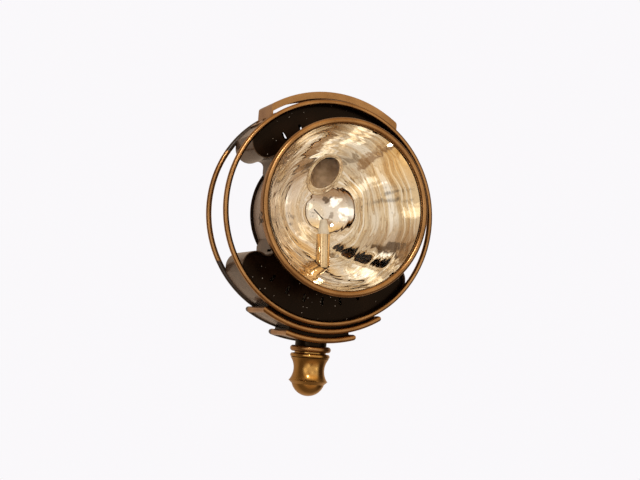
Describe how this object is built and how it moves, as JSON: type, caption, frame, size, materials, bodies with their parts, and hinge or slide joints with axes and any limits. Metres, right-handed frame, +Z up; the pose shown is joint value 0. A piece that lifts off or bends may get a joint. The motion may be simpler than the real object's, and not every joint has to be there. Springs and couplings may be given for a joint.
{
  "type": "acetylene headlamp",
  "caption": "Round ventilated headlamp casing with upper and lower air housings, hinged glazed front, silvered reflector, gas burner, vent hood and turned foot.",
  "frame": {"origin": "centre of the flat underside of the neck collar, on the bracket stud's axis", "axes": "+Z up, front of the lamp towards -Y, +X to the lamp's right as seen from the front"},
  "size_m": [0.2396, 0.1264, 0.3243],
  "materials": {
    "aged_brass": "aged, browned brass with brighter edges",
    "gold_brass": "polished brass, darker in the hollows",
    "black_japan": "black stove enamel, half gloss, dusty and scratched",
    "side_enamel": "brown-grey glossy enamel over sheet metal",
    "silvered_bowl": "spun and silvered, tarnished in rings",
    "heated_copper": "heat-browned, sooty inside",
    "clear_glass": "clear flat glass with faint dust",
    "steatite": "matt white stone burner tip",
    "burnt_wire": "burnt black iron wire",
    "stud_steel": "plain steel"
  },
  "bodies": {
    "casing": {"front_hoop": "aged_brass", "rear_hoop": "aged_brass", "upper_band": "side_enamel", "lower_band": "side_enamel", "upper_left_end": "side_enamel", "upper_right_end": "side_enamel", "lower_left_end": "side_enamel", "lower_right_end": "side_enamel", "upper_left_neck": "side_enamel", "upper_right_neck": "side_enamel", "lower_left_neck": "side_enamel", "lower_right_neck": "side_enamel", "upper_front_plate": "black_japan", "lower_front_plate": "black_japan", "upper_rear_plate": "black_japan", "lower_rear_plate": "black_japan", "drum_shell": "side_enamel", "drum_front": "black_japan", "rear_cover": "black_japan", "head_shell": "black_japan", "reflector": "silvered_bowl", "chimney_tube": "heated_copper", "chimney_lip_ring": "silvered_bowl", "burner_tube": "gold_brass", "burner_tip": "steatite", "burner_wire": "burnt_wire", "gas_pipe": "gold_brass", "gas_nipple": "gold_brass", "gas_nut": "gold_brass", "casing_hinge": "black_japan", "hinge_pin": "gold_brass", "catch_post": "black_japan", "vent_hood": "aged_brass", "hood_rivets": "aged_brass", "large_step_spacer": "black_japan", "large_step_rim": "aged_brass", "large_step_panel": "side_enamel", "small_step_spacer": "black_japan", "small_step_rim": "aged_brass", "small_step_panel": "side_enamel", "neck_collar": "black_japan", "bracket_stud": "stud_steel"},
    "door": {"bezel": "aged_brass", "glass": "clear_glass", "glass_wire": "aged_brass", "glass_clips": "aged_brass", "door_hinge": "aged_brass", "catch_keeper": "black_japan"},
    "catch": {"catch_hook": "black_japan"},
    "cap": {"clamp_ring": "aged_brass", "finial": "gold_brass"}
  },
  "joints": [
    {"name": "door_hinge", "type": "hinge", "parent": "casing", "child": "door", "pos_m": [0.0914, -0.061, 0.1437], "axis": [0, 0, 1], "range_deg": [0, 110]},
    {"name": "catch_pivot", "type": "hinge", "parent": "casing", "child": "catch", "pos_m": [-0.08954, -0.0585, 0.12052], "axis": [-0.9668, 0, -0.2554], "range_deg": [-40, 0]},
    {"name": "cap_slide", "type": "slide", "parent": "casing", "child": "cap", "axis": [0, 0, -1], "range_m": [0, 0.035]}
  ]
}
